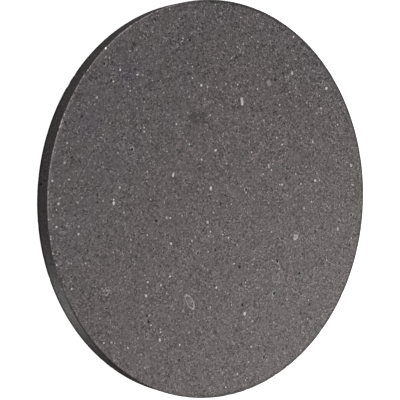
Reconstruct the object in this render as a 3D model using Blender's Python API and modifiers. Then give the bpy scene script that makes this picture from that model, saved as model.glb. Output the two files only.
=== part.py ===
"""Basalt massage stone: one flat round disc of honed basalt.

The stone lies on one of its two flat faces. The origin is the centre of the lower
face, and +Z is the disc's axis. Sizes are in metres.
"""

import math

import bpy

# Driving dimensions
STONE_DIAMETER = 0.200  # over the ground rim
STONE_THICKNESS = 0.010  # from flat face to flat face
ARRIS_WIDTH = 0.0004  # the fine rounding where each face meets the rim

# How finely the round shapes are divided
RIM_SIDES = 128
ARRIS_STEPS = 2

# Finish of the honed stone
BASALT_COLOUR = (0.112, 0.108, 0.108, 1.0)
BASALT_ROUGHNESS = 0.62

COLLECTION_NAME = "basalt_massage_stone"
SQUARE_CORNER_ANGLE = math.radians(60)


def clear_scene():
    for old in list(bpy.data.objects):
        bpy.data.objects.remove(old, do_unlink=True)


def make_collection(name):
    collection = bpy.data.collections.new(name)
    bpy.context.scene.collection.children.link(collection)
    return collection


def honed_basalt():
    material = bpy.data.materials.new("honed_basalt")
    material.use_nodes = True
    shader = material.node_tree.nodes["Principled BSDF"]
    shader.inputs["Base Color"].default_value = BASALT_COLOUR
    shader.inputs["Roughness"].default_value = BASALT_ROUGHNESS
    shader.inputs["Metallic"].default_value = 0.0
    return material


def stone_disc(collection, material):
    """The whole stone: a plain disc with a square rim and a fine arris round both faces."""
    bpy.ops.mesh.primitive_cylinder_add(
        vertices=RIM_SIDES,
        radius=STONE_DIAMETER / 2,
        depth=STONE_THICKNESS,
        location=(0.0, 0.0, STONE_THICKNESS / 2),
    )
    disc = bpy.context.object
    disc.name = "stone_disc"
    disc.data.name = "stone_disc"
    for holder in list(disc.users_collection):
        holder.objects.unlink(disc)
    collection.objects.link(disc)
    disc.data.materials.append(material)
    disc.data.shade_smooth()
    disc.data.set_sharp_from_angle(angle=SQUARE_CORNER_ANGLE)

    arris = disc.modifiers.new("arris", "BEVEL")
    arris.width = ARRIS_WIDTH
    arris.segments = ARRIS_STEPS
    arris.limit_method = "ANGLE"
    arris.angle_limit = SQUARE_CORNER_ANGLE
    return disc


def main():
    clear_scene()
    stone_disc(make_collection(COLLECTION_NAME), honed_basalt())


main()
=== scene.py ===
"""A basalt massage stone: one flat round disc, honed on both faces and ground round its rim.

The stone is one closed mesh. Each side of it (upper face, lower face and unrolled rim) is
laid out flat as a panel, in millimetres. Open pores and the larger mineral grains are rings
of points on a panel, so a pore is a real hole in the surface. The finer grain of the rock
is in its two finishes.
"""

import math
import random

import bmesh
import bpy
from mathutils import Matrix, Vector
from mathutils.geometry import delaunay_2d_cdt
from mathutils.kdtree import KDTree


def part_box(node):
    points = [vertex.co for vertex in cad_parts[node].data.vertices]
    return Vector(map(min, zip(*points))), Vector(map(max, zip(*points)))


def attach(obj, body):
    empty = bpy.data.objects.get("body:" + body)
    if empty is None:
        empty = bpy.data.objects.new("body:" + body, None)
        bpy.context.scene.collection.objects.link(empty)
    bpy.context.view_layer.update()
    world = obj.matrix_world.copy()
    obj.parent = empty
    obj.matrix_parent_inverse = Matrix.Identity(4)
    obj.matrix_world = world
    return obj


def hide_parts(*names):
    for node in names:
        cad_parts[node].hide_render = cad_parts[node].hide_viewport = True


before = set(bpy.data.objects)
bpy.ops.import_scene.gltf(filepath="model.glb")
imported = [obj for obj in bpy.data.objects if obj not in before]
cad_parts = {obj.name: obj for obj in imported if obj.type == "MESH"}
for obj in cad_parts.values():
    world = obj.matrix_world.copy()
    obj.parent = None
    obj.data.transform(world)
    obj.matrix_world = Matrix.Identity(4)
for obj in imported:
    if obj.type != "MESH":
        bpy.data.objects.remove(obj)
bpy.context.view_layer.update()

MM = 0.001

# The stone's own sizes in millimetres, from the frame
STONE_LOW, STONE_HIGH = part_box("stone_disc")
RADIUS = (STONE_HIGH[0] - STONE_LOW[0]) / 2 / MM
THICKNESS = (STONE_HIGH[2] - STONE_LOW[2]) / MM
ARRIS = 0.35

# How finely the stone is divided: steps round it, plain points between marks, rows up the rim
RIM_STEPS = 960
ARRIS_STEPS = 4
FACE_SPACING = 3.6
RIM_SPACING = 1.6
RIM_ROWS = 7
# The row of plain points beside each edge, which marks and other plain points stay clear of
GUARD = 0.7

# Points round a mark: for each millimetre of its length and width together, and the limits
POINTS_PER_MM = 5.2
LEAST_POINTS, MOST_POINTS = 7, 22
# A pore's depth as a share of its lesser width
PORE_DEPTH = 0.25
# How far a mark's light may fade from one side of it to the other: a share, least and most
NEARLY_EVEN = (0.0, 0.45)
ONE_SIDED = (0.85, 1.0)


# ---------------------------------------------------------------- marks in the stone

# A mark is a set of rings, from its outside in. Each ring has its share of the mark's half
# size, and there the share of the mark's depth, how light it is and how much it is a pore.
OPEN_PORE = (
    (1.60, 0.0, 0.0, 0.0),
    (1.22, 0.0, 0.0, 0.0),
    (1.00, 0.12, 0.0, 0.55),
    (0.80, 0.70, 0.0, 1.0),
    (0.45, 0.95, 0.0, 1.0),
    (0.00, 1.0, 0.0, 1.0),
)
LINED_PORE = (
    (1.95, 0.0, 0.0, 0.0),
    (1.60, 0.0, 0.9, 0.0),
    (1.25, 0.0, 0.8, 0.0),
    (1.00, 0.12, 0.0, 0.7),
    (0.70, 0.70, 0.0, 1.0),
    (0.00, 1.0, 0.0, 1.0),
)
PALE_GRAIN = (
    (1.70, 0.0, 0.0, 0.0),
    (1.30, 0.0, 0.0, 0.32),
    (1.12, 0.0, 0.0, 0.30),
    (1.00, 0.0, 1.0, 0.0),
    (0.50, 0.0, 1.0, 0.0),
    (0.00, 0.0, 1.0, 0.0),
)
RINGED_GRAIN = (
    (1.40, 0.0, 0.0, 0.0),
    (1.18, 0.0, 0.0, 0.45),
    (1.04, 0.0, 1.0, 0.0),
    (0.92, 0.0, 0.8, 0.0),
    (0.76, 0.0, 0.0, 0.25),
    (0.45, 0.0, 0.12, 0.0),
    (0.00, 0.0, 0.18, 0.0),
)
PITTED_GRAIN = (
    (1.35, 0.0, 0.0, 0.0),
    (1.14, 0.0, 0.0, 0.35),
    (1.00, 0.0, 1.0, 0.0),
    (0.70, 0.0, 0.9, 0.0),
    (0.40, 0.0, 0.35, 0.0),
    (0.00, 0.0, 0.5, 0.0),
)
DARK_CLOT = (
    (1.50, 0.0, 0.0, 0.0),
    (1.05, 0.0, 0.0, 0.7),
    (0.60, 0.0, 0.0, 1.0),
    (0.00, 0.0, 0.0, 1.0),
)


class Mark:
    """A pore or a mineral grain on a panel, with its own uneven outline."""

    def __init__(self, rings, place, size, turn, strength, draw):
        self.rings = rings
        self.x, self.y = place
        self.long, self.wide = size
        self.turn = math.radians(turn)
        self.strength = strength
        self.depth = PORE_DEPTH * min(size)
        self.waves = [
            (order, draw.uniform(0.02, 0.30 / order), draw.uniform(0, math.tau))
            for order in (2, 3, 4, 5)
        ]
        self.fade = draw.uniform(*(ONE_SIDED if rings is LINED_PORE else NEARLY_EVEN))
        room_for_waves = 1.25
        self.reach = max(size) / 2 * rings[0][0] * room_for_waves

    def point(self, angle, share):
        """The place on the panel of one point of a ring."""
        wobble = 1 + sum(much * math.sin(order * angle + start) for order, much, start in self.waves)
        along = self.long / 2 * share * wobble * math.cos(angle)
        across = self.wide / 2 * share * wobble * math.sin(angle)
        cosine, sine = math.cos(self.turn), math.sin(self.turn)
        return (
            self.x + along * cosine - across * sine,
            self.y + along * sine + across * cosine,
        )

    def points(self):
        """Each point of the mark: its place on the panel, depth, lightness and pore."""
        around = round((self.long + self.wide) * POINTS_PER_MM)
        around = max(LEAST_POINTS, min(MOST_POINTS, around))
        for share, depth, light, pore in self.rings:
            light, pore = light * self.strength, pore * self.strength
            if share == 0:
                yield (self.x, self.y, depth * self.depth, light, pore)
                continue
            for step in range(around):
                angle = math.tau * step / around
                dull_side = 0.5 + 0.5 * math.sin(angle + self.waves[0][2])
                paler = 1 - self.fade * dull_side**0.4
                yield self.point(angle, share) + (depth * self.depth, light * paler, pore)


# The few marks that catch the eye on the upper face, given to the nearest millimetre
# from the face's middle. All others are scattered at random.
PALE_SPOTS = (
    # x, y, length, width, turn, how pale
    (12, 50, 4.0, 1.8, 96, 1.0),
    (-14, 57, 1.4, 1.2, 30, 1.0),
    (30, 60, 3.4, 2.4, 130, 0.35),
    (46, 66, 1.6, 1.3, 70, 0.9),
    (71, 59, 2.0, 1.5, 40, 1.0),
    (67, 48, 1.5, 1.2, 0, 0.8),
    (-74, 49, 1.5, 1.2, 50, 0.7),
    (-5, 25, 1.6, 1.2, 20, 0.9),
    (-91, 19, 1.3, 1.3, 0, 0.6),
    (-31, 13, 2.2, 1.4, 70, 1.0),
    (-8, 6, 2.4, 1.2, 80, 1.0),
    (61, 30, 2.0, 1.0, 110, 0.8),
    (30, 17, 2.2, 1.1, 110, 0.8),
    (63, 9, 1.8, 1.4, 60, 1.0),
    (90, 17, 2.0, 1.4, 110, 0.8),
    (-65, 0, 1.8, 1.3, 100, 1.0),
    (-10, -11, 1.5, 1.3, 0, 1.0),
    (80, -18, 1.8, 1.3, 60, 1.0),
    (-47, -45, 1.6, 1.3, 120, 1.0),
    (14, -59, 2.1, 1.5, 70, 1.0),
    (-39, -67, 1.8, 1.2, 110, 1.0),
)
RINGED_SPOTS = (
    # x, y, length, width, turn, how pale
    (-21, -50, 7.6, 3.8, 118, 0.65),
    (-69, -41, 3.6, 2.8, 60, 0.6),
    (35, -42, 5.0, 4.4, 0, 0.22),
)
PITTED_SPOTS = (
    # x, y, length, width, turn, how pale
    (49, -21, 3.1, 2.8, 0, 1.0),
)
DARK_PORES = (
    # x, y, length, width, turn, how dark
    (34, 62, 1.8, 1.3, 120, 1.0),
    (-53, 63, 1.4, 1.1, 0, 0.8),
    (-82, 40, 1.6, 1.1, 0, 0.8),
    (-41, -9, 1.4, 1.3, 0, 1.0),
    (59, -58, 1.8, 1.3, 40, 0.8),
)
LINED_PORES = (
    # x, y, length, width, turn, how dark
    (67, 62, 1.6, 1.1, 60, 1.0),
    (81, -14, 1.6, 1.2, 70, 1.0),
    (36, -33, 2.0, 1.3, 110, 1.0),
    (34, -50, 1.9, 1.4, 60, 1.0),
)
DARK_CLOTS = (
    # x, y, length, width, turn, how dark
    (-17, 41, 6.5, 5.5, 20, 0.4),
)

# Faint stains in the upper face: x, y and half width, and how rusty (or below 0, how blue)
STAINS = (
    (53, -60, 10, 0.9),
    (53, -39, 5, -0.7),
    (-78, 37, 5, -0.6),
    (-57, 62, 6, -0.7),
)


def stain_at(x, y):
    """How strong the faint stains are at a place on the upper face."""
    return sum(
        tone * math.exp(-((x - middle_x) ** 2 + (y - middle_y) ** 2) / half**2)
        for middle_x, middle_y, half, tone in STAINS
    )


def olive_at(x, y):
    """How olive the rock is: only along the middle of the +X edge."""
    inward, half_length, middle = 9, 26, 3
    return math.exp(-(((RADIUS - x) / inward) ** 2) - ((y - middle) / half_length) ** 2)


def drift_at(x, y):
    """The rock is cooler along the -X and +Y edges (below 0) and warmer towards +X -Y."""
    past_left = 0.79 * x - 0.61 * y + 38
    below_top = 66 - y - 0.3 * x
    most, softness = 0.28, 15
    return most * math.tanh(min(past_left, below_top) / softness)


def chosen_marks(draw):
    """The marks that catch the eye on the upper face."""
    kinds = (
        (PALE_GRAIN, PALE_SPOTS),
        (RINGED_GRAIN, RINGED_SPOTS),
        (PITTED_GRAIN, PITTED_SPOTS),
        (OPEN_PORE, DARK_PORES),
        (LINED_PORE, LINED_PORES),
        (DARK_CLOT, DARK_CLOTS),
    )
    return [
        Mark(rings, (x, y), (long, wide), turn, strength, draw)
        for rings, spots in kinds
        for x, y, long, wide, turn, strength in spots
    ]


def scattered_grain(place, draw):
    """A small pale grain: most are faint, and a few are nearly white."""
    long = 0.55 + 0.9 * draw.random() ** 2.2
    wide = long * draw.uniform(0.55, 1.0)
    light = 0.20 + 0.72 * draw.random() ** 3.0
    return Mark(PALE_GRAIN, place, (long, wide), draw.uniform(0, 180), light, draw)


def scattered_pore(place, draw):
    """A small open pore: most are under a millimetre across."""
    long = 0.6 + 1.1 * draw.random() ** 2.6
    wide = long * draw.uniform(0.6, 1.0)
    return Mark(OPEN_PORE, place, (long, wide), draw.uniform(0, 180), 0.9, draw)


def scattered_lined_pore(place, draw):
    """An open pore with a pale crystal along one side of it."""
    long = draw.uniform(0.9, 1.5)
    wide = long * draw.uniform(0.6, 1.0)
    turn, strength = draw.uniform(0, 180), draw.uniform(0.6, 1.0)
    return Mark(LINED_PORE, place, (long, wide), turn, strength, draw)


# The kinds that are scattered, and how many of each there are on each side of the stone
SCATTERED = (scattered_lined_pore, scattered_pore, scattered_grain)
ON_UPPER_FACE = (14, 74, 200)
ON_LOWER_FACE = (14, 70, 200)
ON_RIM = (3, 24, 48)


def scatter(marks, kinds, sample, clear_of_edge, draw):
    """Adds marks at random places, each clear of the others and of the panel's edge."""
    # Marks are kept by the square that they are in, so that only near ones are compared.
    squares = {}
    side = 6.0

    def near(x, y):
        column, row = int(x // side), int(y // side)
        for across in (-1, 0, 1):
            for up in (-1, 0, 1):
                yield from squares.get((column + across, row + up), ())

    def keep(mark):
        squares.setdefault((int(mark.x // side), int(mark.y // side)), []).append(mark)

    for mark in marks:
        keep(mark)
    for make, count in kinds:
        made = 0
        while made < count:
            mark = make(sample(), draw)
            if not clear_of_edge(mark):
                continue
            if any(
                math.hypot(mark.x - other.x, mark.y - other.y) < mark.reach + other.reach
                for other in near(mark.x, mark.y)
            ):
                continue
            keep(mark)
            marks.append(mark)
            made += 1
    return marks


# ---------------------------------------------------------------- the stone's mesh

# The places of the two finishes in the mesh's list of materials
HONED, GROUND = 0, 1
# Nicks along each of the two edges
NICKS = 46


class Body:
    """The stone's points and faces, in millimetres, before they become a mesh."""

    def __init__(self):
        self.places, self.light, self.pore = [], [], []
        self.faces, self.finishes, self.flat = [], [], []

    def point(self, place, light=0.0, pore=0.0):
        self.places.append(Vector(place))
        self.light.append(light)
        self.pore.append(pore)
        return len(self.places) - 1

    def face(self, corners, finish, flat=False):
        self.faces.append(corners)
        self.finishes.append(finish)
        self.flat.append(flat)

    def ring(self, radius, height):
        """A full circle of points about the disc's axis."""
        return [
            self.point((radius * math.cos(angle), radius * math.sin(angle), height))
            for angle in (math.tau * step / RIM_STEPS for step in range(RIM_STEPS))
        ]

    def band(self, first, second, finish):
        """Joins two rings with a strip of four-sided faces."""
        for step in range(RIM_STEPS):
            after = (step + 1) % RIM_STEPS
            self.face((first[step], first[after], second[after], second[step]), finish)


def fill_panel(body, edge, marks, filler, place_of, finish, flat):
    """Triangulates a panel round its marks.

    edge holds the panel's outline as pairs of a place on the panel and a point of the body,
    filler the places of the plain points between marks, and place_of(x, y, depth) turns a
    place on the panel into one on the stone.
    """
    places = [place for place, _ in edge]
    points = [point for _, point in edge]
    depths = [0.0] * len(edge)
    tree = KDTree(max(1, len(marks)))
    for number, mark in enumerate(marks):
        tree.insert((mark.x, mark.y, 0), number)
        for x, y, depth, light, pore in mark.points():
            places.append((x, y))
            points.append(body.point(place_of(x, y, depth), light, pore))
            depths.append(depth)
    tree.balance()
    widest = max(mark.reach for mark in marks)
    clear_share = 0.85
    for x, y in filler:
        near = tree.find_range((x, y, 0), widest)
        if all(gap > marks[number].reach * clear_share for _, number, gap in near):
            places.append((x, y))
            points.append(body.point(place_of(x, y, 0.0)))
            depths.append(0.0)
    flat_points = [Vector(place) for place in places]
    _, _, triangles, origins, _, _ = delaunay_2d_cdt(flat_points, [], [], 0, 1e-6)
    for corners in triangles:
        whole = [origins[corner][0] for corner in corners]
        level = flat and all(depths[corner] == 0.0 for corner in whole)
        body.face(tuple(points[corner] for corner in whole), finish, level)


def hexagonal(width, height, spacing, draw, centred=True):
    """Slightly uneven points on a close-packed grid."""
    rows = int(height / (spacing * math.sqrt(3) / 2)) + 1
    columns = int(width / spacing) + 1
    shift_x = -width / 2 if centred else 0.0
    shift_y = -height / 2 if centred else 0.0
    uneven = 0.2
    for row in range(rows):
        for column in range(columns):
            x = shift_x + (column + 0.5 * (row % 2) + 0.25) * spacing
            y = shift_y + (row + 0.5) * spacing * math.sqrt(3) / 2
            yield (
                x + draw.uniform(-uneven, uneven) * spacing,
                y + draw.uniform(-uneven, uneven) * spacing,
            )


def lay_face(body, edge_ring, upper, marks, counts, finish, seed):
    """One flat face: its marks and the triangles round them."""
    draw = random.Random(seed)
    inside = RADIUS - ARRIS - GUARD
    mark_gap, filler_gap = 0.2, 0.6

    def sample():
        while True:
            x, y = draw.uniform(-inside, inside), draw.uniform(-inside, inside)
            if math.hypot(x, y) < inside:
                return x, y

    scatter(
        marks,
        zip(SCATTERED, counts),
        sample,
        lambda mark: math.hypot(mark.x, mark.y) + mark.reach < inside - mark_gap,
        draw,
    )
    edge = [(tuple(body.places[point][:2]), point) for point in edge_ring]
    filler = [
        (x, y)
        for x, y in hexagonal(2 * RADIUS, 2 * RADIUS, FACE_SPACING, draw)
        if math.hypot(x, y) < inside - filler_gap
    ]
    for step in range(RIM_STEPS // 2):
        angle = math.tau * (step + 0.5) / (RIM_STEPS // 2)
        filler.append((inside * math.cos(angle), inside * math.sin(angle)))
    level = THICKNESS if upper else 0.0
    inward = -1 if upper else 1
    fill_panel(
        body, edge, marks, filler, lambda x, y, depth: (x, y, level + inward * depth), finish, True
    )


def lay_rim(body, lower_ring, upper_ring, counts, finish, seed):
    """The ground rim, laid out flat: along it, then up it."""
    draw = random.Random(seed)
    length = math.tau * RADIUS
    bottom, top = ARRIS, THICKNESS - ARRIS
    end_gap, filler_gap = 0.6, 0.4
    marks = scatter(
        [],
        zip(SCATTERED, counts),
        lambda: (draw.uniform(0, length), draw.uniform(bottom, top)),
        lambda mark: (
            mark.reach < mark.x < length - mark.reach
            and bottom + GUARD + mark.reach < mark.y < top - GUARD - mark.reach
        ),
        draw,
    )

    def place_of(x, y, depth):
        angle = x / RADIUS
        return ((RADIUS - depth) * math.cos(angle), (RADIUS - depth) * math.sin(angle), y)

    edge = []
    for ring, height in ((lower_ring, bottom), (upper_ring, top)):
        for step in range(RIM_STEPS + 1):
            edge.append(((length * step / RIM_STEPS, height), ring[step % RIM_STEPS]))
    for row in range(1, RIM_ROWS):
        height = bottom + (top - bottom) * row / RIM_ROWS
        seam = body.point(place_of(0.0, height, 0.0))
        edge.append(((0.0, height), seam))
        edge.append(((length, height), seam))
    filler = [
        (x, bottom + y)
        for x, y in hexagonal(length, top - bottom, RIM_SPACING, draw, centred=False)
        if end_gap < x < length - end_gap
        and GUARD + filler_gap < y < top - bottom - GUARD - filler_gap
    ]
    for height in (bottom + GUARD, top - GUARD):
        for step in range(1, RIM_STEPS):
            filler.append((length * (step + 0.5) / (RIM_STEPS + 1), height))
    fill_panel(body, edge, marks, filler, place_of, finish, False)


def nick_depths(draw):
    """How deep the arris is nicked at each step round the rim, in millimetres."""
    # Slight wear all round, and then the nicks
    wear = 0.012
    depths = [
        wear + wear * math.sin(0.9 * step) * math.sin(0.37 * step) for step in range(RIM_STEPS)
    ]
    pitch = math.tau * RADIUS / RIM_STEPS
    for _ in range(NICKS):
        middle = draw.uniform(0, RIM_STEPS)
        half = draw.uniform(0.8, 2.0) / pitch
        depth = 0.05 + 0.20 * draw.random() ** 2.5
        for step in range(math.floor(middle - half), math.ceil(middle + half) + 1):
            away = abs(step - middle) / half
            if away < 1:
                here = depth * (0.5 + 0.5 * math.cos(math.pi * away))
                depths[step % RIM_STEPS] = max(depths[step % RIM_STEPS], here)
    return depths


def nick_arris(body, rings, upper, draw):
    """Moves the points of one arris in and away from the corner where it is nicked."""
    depths = nick_depths(draw)
    for ring in rings:
        for step, point in enumerate(ring):
            place = body.places[point]
            outward = Vector((place.x, place.y, 0)).normalized()
            away = outward + Vector((0, 0, 1 if upper else -1))
            body.places[point] = place - away.normalized() * depths[step]


def stone_body():
    """The whole stone, from the lower face's edge up over the rim to the upper face."""
    body = Body()
    draw = random.Random(41)
    turns = [math.pi / 2 * step / ARRIS_STEPS for step in range(ARRIS_STEPS + 1)]
    lower = [
        body.ring(RADIUS - ARRIS + ARRIS * math.sin(turn), ARRIS - ARRIS * math.cos(turn))
        for turn in turns
    ]
    upper = [
        body.ring(
            RADIUS - ARRIS + ARRIS * math.cos(turn), THICKNESS - ARRIS + ARRIS * math.sin(turn)
        )
        for turn in turns
    ]
    for rings in (lower, upper):
        for first, second in zip(rings, rings[1:]):
            body.band(first, second, HONED)
    lay_face(body, upper[-1], True, chosen_marks(draw), ON_UPPER_FACE, HONED, seed=7)
    lay_face(body, lower[0], False, [], ON_LOWER_FACE, HONED, seed=19)
    lay_rim(body, lower[-1], upper[0], ON_RIM, GROUND, seed=23)
    nick_arris(body, lower, False, draw)
    nick_arris(body, upper, True, draw)
    return body


def map_layout(mesh, finishes):
    """A flat map with both faces as discs on one diagonal and the rim as strips beside them."""
    layer = mesh.uv_layers.new(name="OFBake")
    disc_radius = 0.286
    lower_middle, upper_middle = 0.291, 0.709
    strip_corners = ((0.012, 0.964), (0.012, 0.924), (0.538, 0.006), (0.538, 0.046))
    strips = len(strip_corners)
    strip_length = math.tau / strips
    scale = disc_radius / RADIUS
    for face in mesh.polygons:
        middle = face.center / MM
        on_arris = math.hypot(middle.x, middle.y) > RADIUS - ARRIS - 0.02
        if finishes[face.index] == HONED and not on_arris:
            centre = upper_middle if middle.z > THICKNESS / 2 else lower_middle
            for loop in face.loop_indices:
                place = mesh.vertices[mesh.loops[loop].vertex_index].co / MM
                layer.data[loop].uv = (centre + place.x * scale, centre + place.y * scale)
            continue
        towards = math.atan2(middle.y, middle.x) % math.tau
        strip = min(strips - 1, int(towards / strip_length))
        left, bottom = strip_corners[strip]
        for loop in face.loop_indices:
            place = mesh.vertices[mesh.loops[loop].vertex_index].co / MM
            turn = math.atan2(place.y, place.x) - towards
            turn = (turn + math.pi) % math.tau - math.pi + towards - strip * strip_length
            inset = RADIUS - math.hypot(place.x, place.y)
            rise = place.z + (inset if middle.z > THICKNESS / 2 else -inset) * on_arris
            layer.data[loop].uv = (
                left + turn * RADIUS * scale,
                bottom + (rise + 2 * ARRIS) * scale,
            )


def stone_mesh(name, materials):
    """The stone as a mesh in metres, with the numbers that its finishes read at its points."""
    body = stone_body()
    mesh = bpy.data.meshes.new(name)
    mesh.from_pydata([place * MM for place in body.places], [], body.faces)
    for material in materials:
        mesh.materials.append(material)
    stains = [
        (drift_at(place.x, place.y) + stain_at(place.x, place.y)) * (place.z > THICKNESS / 2)
        for place in body.places
    ]
    olive = [olive_at(place.x, place.y) * (place.z > THICKNESS / 2) for place in body.places]
    measures = (
        ("pale_grain", body.light),
        ("open_pore", body.pore),
        ("stain", stains),
        ("olive", olive),
    )
    for measure, values in measures:
        layer = mesh.attributes.new(measure, "FLOAT", "POINT")
        layer.data.foreach_set("value", values)
    mesh.polygons.foreach_set("material_index", body.finishes)
    mesh.polygons.foreach_set("use_smooth", [not flat for flat in body.flat])
    shaped = bmesh.new()
    shaped.from_mesh(mesh)
    bmesh.ops.recalc_face_normals(shaped, faces=shaped.faces)
    shaped.to_mesh(mesh)
    shaped.free()
    map_layout(mesh, body.finishes)
    mesh.update()
    return mesh


# ---------------------------------------------------------------- writing finishes


class Field:
    """A value that varies over the stone. Sums on it are written as in Python."""

    def __init__(self, finish, socket):
        self.finish, self.socket = finish, socket

    def _sum(self, operation, *terms):
        sockets = dict(enumerate(terms))
        return self.finish.node("ShaderNodeMath", {"operation": operation}, sockets)

    def __add__(self, other):
        return self._sum("ADD", self, other)

    def __radd__(self, other):
        return self._sum("ADD", other, self)

    def __sub__(self, other):
        return self._sum("SUBTRACT", self, other)

    def __rsub__(self, other):
        return self._sum("SUBTRACT", other, self)

    def __mul__(self, other):
        return self._sum("MULTIPLY", self, other)

    def __rmul__(self, other):
        return self._sum("MULTIPLY", other, self)

    def over(self, low, high):
        """0 up to low, 1 from high, and an even slope between."""
        return self.finish.node(
            "ShaderNodeMapRange",
            {"clamp": True, "interpolation_type": "SMOOTHSTEP"},
            {"Value": self, "From Min": low, "From Max": high},
        )


class Finish:
    """A new material or world, which is written node by node."""

    def __init__(self, owner):
        self.owner = owner
        owner.use_nodes = True
        self.tree = owner.node_tree
        self.tree.nodes.clear()

    def node(self, kind, settings=None, sockets=None, out=0):
        """Adds a node, sets its settings, then fills its sockets with values or links."""
        made = self.tree.nodes.new(kind)
        for key, value in (settings or {}).items():
            if key == "stops":
                self._set_stops(made.color_ramp, value)
            else:
                setattr(made, key, value)
        for key, value in (sockets or {}).items():
            if isinstance(value, Field):
                self.tree.links.new(value.socket, made.inputs[key])
            else:
                made.inputs[key].default_value = value
        return Field(self, made.outputs[out]) if made.outputs else None

    @staticmethod
    def _set_stops(ramp, stops):
        while len(ramp.elements) < len(stops):
            ramp.elements.new(0.5)
        for element, (position, tone) in zip(ramp.elements, stops):
            element.position = position
            element.color = (tone, tone, tone, 1.0)

    def mixed(self, amount, first, second):
        """From one colour to another."""
        return self.node(
            "ShaderNodeMix",
            {"data_type": "RGBA"},
            {0: amount, 6: first, 7: second},
            out=2,
        )

    def scaled(self, colour, amount):
        """A colour or vector made longer or shorter."""
        return self.node(
            "ShaderNodeVectorMath", {"operation": "SCALE"}, {0: colour, "Scale": amount}
        )

    def parts(self, colour):
        """The three numbers of a colour or vector."""
        split = self.node("ShaderNodeSeparateXYZ", None, {0: colour}).socket.node
        return [Field(self, output) for output in split.outputs]

    def cells(self, place, size):
        """Grains of about this size, in millimetres.

        Gives how far away the grain's own middle is, and three random numbers for the grain.
        """
        away = self.node("ShaderNodeTexVoronoi", None, {"Vector": place, "Scale": 1 / size})
        tint = Field(self, away.socket.node.outputs["Color"])
        return [away * size] + self.parts(tint)

    def spots(self, place, size, share, reach, gathered):
        """Separate spots on a share of the grains: the spots, and the margins round them.

        Each spot has a strength of its own, and reach is its half width in millimetres.
        """
        away, pick, strength, _ = self.cells(place, size)
        squared = strength * strength
        chosen = (pick + gathered).over(1 - share, 1.005 - share) * (0.11 + squared * squared)
        spot = 1 - away.over(reach * 0.6, reach)
        margin = away.over(reach * 0.8, reach * 1.1) * (1 - away.over(reach * 1.3, reach * 1.9))
        return chosen * spot, chosen * margin

    def clouds(self, place, size, detail=2.0, rough=0.5):
        """Soft patches of about this size, in millimetres, from 0 to 1 about 0.5."""
        return self.node(
            "ShaderNodeTexNoise",
            None,
            {"Vector": place, "Scale": 1 / size, "Detail": detail, "Roughness": rough},
        )

    def stepped(self, value, stops):
        """A value read through a ramp of (position, tone) stops."""
        return self.node("ShaderNodeValToRGB", {"stops": stops}, {0: value})

    def measure(self, name):
        """A number that the mesh holds at its points."""
        return self.node(
            "ShaderNodeAttribute", {"attribute_type": "GEOMETRY", "attribute_name": name}, out="Fac"
        )


# ---------------------------------------------------------------- the stone's finishes

RUSTY = (0.154, 0.1160, 0.1160, 1.0)
GREENISH = (0.134, 0.1175, 0.1170, 1.0)
BLUISH = (0.139, 0.1160, 0.1370, 1.0)
OLIVE = (0.134, 0.1240, 0.1080, 1.0)
PALE_MINERAL = (0.95, 0.93, 0.90, 1.0)
# Near black, for the dark minerals and for painted shade in the pores.
DARK_MINERAL_AND_PORE_SHADE = (0.022, 0.019, 0.019, 1.0)

# How wide the rock's grains are, and how far apart its flecks, specks and dark spots can be,
# all in millimetres
FINE_GRAIN, MIDDLE_GRAIN = 0.62, 0.95
FLECK_ROOM, SPECK_ROOM, DARK_SPOT_ROOM = 1.9, 1.15, 1.5


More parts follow.
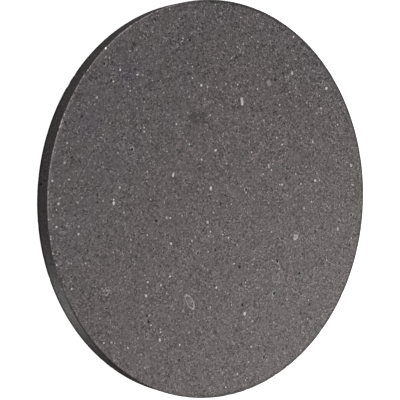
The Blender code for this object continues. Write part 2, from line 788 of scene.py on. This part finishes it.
def basalt(name, grain_contrast, pale_share, brightness):
    """Fine-grained basalt: grains of two sizes, faint stains, pale and dark spots, and pores.

    Gives the finish, the place in millimetres, the colour, the height for its relief, how much
    it is a pore, and a random number for each fine grain.
    """
    finish = Finish(bpy.data.materials.new(name))
    coordinates = finish.node("ShaderNodeTexCoord", out="Object")
    place = finish.scaled(coordinates, 1 / MM)
    # Places are bent by up to 0.7 mm, so that the grains aren't straight-sided.
    bend = finish.node(
        "ShaderNodeTexNoise", None, {"Vector": place, "Scale": 1.1, "Detail": 1.0}, out="Color"
    )
    bent = finish.node(
        "ShaderNodeVectorMath",
        {"operation": "MULTIPLY_ADD"},
        {0: bend, 1: (0.7, 0.7, 0.7), 2: place},
    )

    _, fine, _, fine_gloss = finish.cells(bent, FINE_GRAIN)
    between, middle, _, _ = finish.cells(bent, MIDDLE_GRAIN)

    # Each size of grain darkens or lightens the rock about a tone of 1 (0.5 on the ramps).
    fine_tone = finish.stepped(
        fine, ((0.0, 0.16), (0.10, 0.30), (0.35, 0.46), (0.7, 0.54), (0.9, 0.70), (1.0, 1.0))
    )
    middle_tone = finish.stepped(
        middle, ((0.0, 0.26), (0.15, 0.42), (0.5, 0.50), (0.85, 0.56), (1.0, 0.80))
    )
    soft = finish.clouds(place, 9.0, 3.0)
    broad = finish.clouds(place, 34.0, 1.0)
    grain = (fine_tone - 0.5) * 2.9 + (middle_tone - 0.5) * 1.3 + (0.45 - between) * 0.8
    # The rock is a little more speckled towards +X, and smoother in patches
    contrast = finish.parts(place)[0].over(-1.2 * RADIUS, 1.2 * RADIUS) * 0.34 + 0.54
    contrast = contrast + finish.clouds(place, 8.0, 1.0).over(0.32, 0.68) * 0.54
    uneven = 1.0 + grain * contrast * grain_contrast + (soft - 0.5) * 0.18 + (broad - 0.5) * 0.10

    stain = finish.measure("stain")
    warmth = 0.38 + (finish.clouds(place, 17.0, 1.0) - 0.5) * 0.4
    tint = finish.mixed(warmth + stain, GREENISH, RUSTY)
    cold = 0.04 + (finish.clouds(bent, 14.0, 1.0) - 0.5) * 0.6 + (0.0 - stain).over(0.0, 1.0)
    tint = finish.mixed(cold, tint, BLUISH)
    tint = finish.mixed(finish.measure("olive"), tint, OLIVE)
    rock = finish.scaled(tint, uneven * brightness)

    # Small pale feldspar grains on their own, gathered here and there, each in a darker margin
    gathered = (finish.clouds(place, 6.0, 1.0) - 0.5) * 0.30
    flecks, flecks_rim = finish.spots(bent, FLECK_ROOM, pale_share * 1.1, 0.6, gathered)
    specks, specks_rim = finish.spots(bent, SPECK_ROOM, pale_share * 1.4, 0.45, gathered)
    dark_spots, _ = finish.spots(bent, DARK_SPOT_ROOM, pale_share, 0.6, gathered)
    mesh_grain = finish.measure("pale_grain")
    grain_cloud = finish.clouds(place, 0.45, 2.0)
    pale = mesh_grain * (0.5 + grain_cloud.over(0.38, 0.56) * 0.6)
    # The small dark spots stand for pores too, so their dark is partly painted shade.
    stone = finish.mixed(specks_rim * 0.22 + flecks_rim * 0.30 + dark_spots * 0.7, rock, DARK_MINERAL_AND_PORE_SHADE)
    stone = finish.mixed(specks * 0.62 * brightness, stone, PALE_MINERAL)
    stone = finish.mixed(flecks * 0.95 * brightness, stone, PALE_MINERAL)
    stone = finish.mixed(pale * brightness, stone, PALE_MINERAL)
    # Near black where the mesh holds a pore: in the open pores this is painted shade on top of their
    # real depth; the dark clots and grain margins share this measure.
    pore = finish.measure("open_pore")
    stone = finish.mixed(pore * 0.85, stone, DARK_MINERAL_AND_PORE_SHADE)

    ridges = finish.clouds(place, 0.85, 2.0, 0.6)
    height = ridges * 0.8 + fine_tone * 0.25
    return finish, place, stone, height, pore, fine_gloss


def finished(finish, colour, roughness, height, bump_distance):
    """Puts the colour, roughness and fine relief on the stone's shader."""
    relief = finish.node(
        "ShaderNodeBump",
        None,
        {"Strength": 1.0, "Distance": bump_distance, "Height": height},
    )
    shader = finish.node(
        "ShaderNodeBsdfPrincipled",
        None,
        {"Base Color": colour, "Roughness": roughness, "Normal": relief, "IOR": 1.5},
    )
    finish.node("ShaderNodeOutputMaterial", None, {"Surface": shader})
    return finish.owner


def honed_basalt():
    """The faces, with painted shade along their edges, except the upper edge on the -X side, which has
    a thin painted highlight towards +Y and painted shade towards -Y.
    """
    finish, place, stone, height, pore, gloss = basalt(
        "honed_basalt", grain_contrast=1.0, pale_share=0.15, brightness=1.0
    )
    across, up, height_up = finish.parts(place)
    from_axis = finish.node("ShaderNodeMath", {"operation": "SQRT"}, {0: across * across + up * up})
    low = 1 - height_up.over(0.3 * THICKNESS, 0.7 * THICKNESS)
    painted_shade_side = 1 - (1 - across.over(-0.6 * RADIUS, 0.1 * RADIUS)) * (1 - low)
    # The outer 2.4 mm has painted shade on the +X side and round the lower face, and a little painted
    # light elsewhere.
    painted_edge_band = from_axis.over(RADIUS - 2.4, RADIUS - 0.5)
    stone = finish.scaled(stone, 1.0 + painted_edge_band * (0.20 - painted_shade_side * 0.98))
    # Away from that painted shade, the last 0.8 mm is a thin painted line: a highlight towards +Y,
    # strongest on the arris, and shade towards -Y.
    painted_edge_line = from_axis.over(RADIUS - 0.8, RADIUS - 0.5) * (1 - painted_shade_side)
    painted_highlight_side = up.over(-0.5 * RADIUS, 0.1 * RADIUS)
    on_arris = from_axis.over(RADIUS - 0.40, RADIUS - 0.30)
    stone = finish.scaled(stone, 1.0 + painted_edge_line * (painted_highlight_side * (0.8 + on_arris * 2.2) - 0.65 * (1 - painted_highlight_side)))
    roughness = 0.60 + (gloss - 0.5) * 0.16 + pore * 0.25
    return finished(finish, stone, roughness, height, bump_distance=0.12 * MM)


def ground_basalt():
    """The rim: the same rock, duller, with fine grinding lines that run round it, and painted shade at
    its foot and its top.
    """
    finish, place, stone, height, pore, gloss = basalt(
        "ground_basalt", grain_contrast=0.7, pale_share=0.05, brightness=1.19
    )
    height_up = finish.parts(place)[2]
    # Painted shade: the rim is dark at its foot, beside the floor, and a little darker at its top.
    clear_of_foot_shade = height_up.over(0.5, 3.2)
    shoulder_shade = height_up.over(THICKNESS - 1.6, THICKNESS - 0.3)
    # Noise that is long round the rim and fine up it
    along = finish.node(
        "ShaderNodeVectorMath", {"operation": "MULTIPLY"}, {0: place, 1: (0.035, 0.035, 2.6)}
    )
    lines = finish.node(
        "ShaderNodeTexNoise", None, {"Vector": along, "Scale": 1.0, "Detail": 3.0, "Roughness": 0.6}
    )
    lined_and_shaded = finish.scaled(stone, (0.66 + lines * 0.68) * (0.05 + clear_of_foot_shade * 0.95) * (1 - shoulder_shade * 0.2))
    roughness = 0.66 + (gloss - 0.5) * 0.10 + pore * 0.2 + (lines - 0.5) * 0.2
    return finished(finish, lined_and_shaded, roughness, height + lines * 0.8, bump_distance=0.08 * MM)


# ---------------------------------------------------------------- floor, light and camera


def white_floor():
    """A plain white floor, just under the stone, which throws no light on it."""
    finish = Finish(bpy.data.materials.new("white_floor"))
    shader = finish.node(
        "ShaderNodeBsdfPrincipled",
        None,
        {
            "Base Color": (0.86, 0.86, 0.86, 1.0),
            "Roughness": 0.9,
            "Emission Color": (1.0, 1.0, 1.0, 1.0),
            "Emission Strength": 1.0,
        },
    )
    finish.node("ShaderNodeOutputMaterial", None, {"Surface": shader})
    mesh = bpy.data.meshes.new("studio_floor")
    half = 6.0
    level = -0.0002
    mesh.from_pydata(
        [(-half, -half, level), (half, -half, level), (half, half, level), (-half, half, level)],
        [],
        [(0, 1, 2, 3)],
    )
    mesh.materials.append(finish.owner)
    floor = bpy.data.objects.new("studio_floor", mesh)
    bpy.context.scene.collection.objects.link(floor)
    floor.visible_diffuse = False
    floor.visible_glossy = False


def softbox(name, place, aim, size, watts, spread=180.0, colour=(1.0, 1.0, 1.0)):
    """A soft rectangular light, looking at aim."""
    light = bpy.data.lights.new(name, "AREA")
    light.color = colour
    light.shape = "RECTANGLE"
    light.size, light.size_y = size
    light.energy = watts
    light.spread = math.radians(spread)
    lamp = bpy.data.objects.new(name, light)
    bpy.context.scene.collection.objects.link(lamp)
    lamp.location = place
    towards = Vector(aim) - Vector(place)
    lamp.rotation_euler = towards.to_track_quat("-Z", "Y").to_euler()


def studio_air(seen, given):
    """The studio round the stone: pale to look at, and a faint soft light on the stone.

    The light is weaker from the -Y side, where the studio is dark.
    """
    air = Finish(bpy.data.worlds.new("studio_air"))
    towards = air.node("ShaderNodeTexCoord", out="Generated")
    darkest_way = (0.26, -0.96, -0.10)
    dark_side = air.node(
        "ShaderNodeVectorMath", {"operation": "DOT_PRODUCT"}, {0: towards, 1: darkest_way}, out="Value"
    )
    given_here = air.node(
        "ShaderNodeMapRange",
        None,
        {
            "Value": dark_side,
            "From Min": 0.1,
            "From Max": 0.9,
            "To Min": given,
            "To Max": given * 0.2,
        },
    )
    looked_at = air.node("ShaderNodeLightPath", out="Is Camera Ray")
    level = air.node(
        "ShaderNodeMapRange", None, {"Value": looked_at, "To Min": given_here, "To Max": seen}
    )
    light = air.node("ShaderNodeBackground", None, {"Strength": level})
    air.node("ShaderNodeOutputWorld", None, {"Surface": light})
    bpy.context.scene.world = air.owner


def look_down_camera():
    """Looks down on the stone from over its -X side, with +Y up the picture."""
    face_middle = Vector((0, 0, THICKNESS)) * MM
    turn, lift = math.radians(38.06), math.radians(2.27)
    distance = 0.526
    direction = Vector(
        (-math.sin(turn) * math.cos(lift), math.sin(lift), math.cos(turn) * math.cos(lift))
    )
    eye = face_middle + direction * distance
    aim = face_middle + Vector((-0.01475, 0.0003, 0))
    ahead = (aim - eye).normalized()
    right = ahead.cross(Vector((0, 1, 0))).normalized()
    up = right.cross(ahead)
    data = bpy.data.cameras.new("camera")
    data.sensor_width = 36.0
    data.lens = 93.8
    data.clip_start = 0.01
    camera = bpy.data.objects.new("camera", data)
    bpy.context.scene.collection.objects.link(camera)
    turned = Matrix((right, up, -ahead)).transposed().to_4x4()
    camera.matrix_world = Matrix.Translation(eye) @ turned
    bpy.context.scene.camera = camera


# ---------------------------------------------------------------- the whole scene

finishes = (honed_basalt(), ground_basalt())
stone = bpy.data.objects.new("honed_stone", stone_mesh("honed_stone", finishes))
bpy.context.scene.collection.objects.link(stone)
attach(stone, "root")
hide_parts("stone_disc")

white_floor()
studio_air(seen=1.0, given=0.25)
softbox("key_light", (1.16, -0.49, 1.16), (0, 0, 0.01), (0.54, 0.54), 18.9)
softbox(
    "rim_light",
    (-0.149, -0.082, 0.005),
    (-0.087, -0.048, 0.005),
    (0.03, 0.008),
    0.0021,
    spread=45.0,
    colour=(0.88, 1.0, 0.99),
)
look_down_camera()
bpy.context.scene.view_settings.view_transform = "Standard"
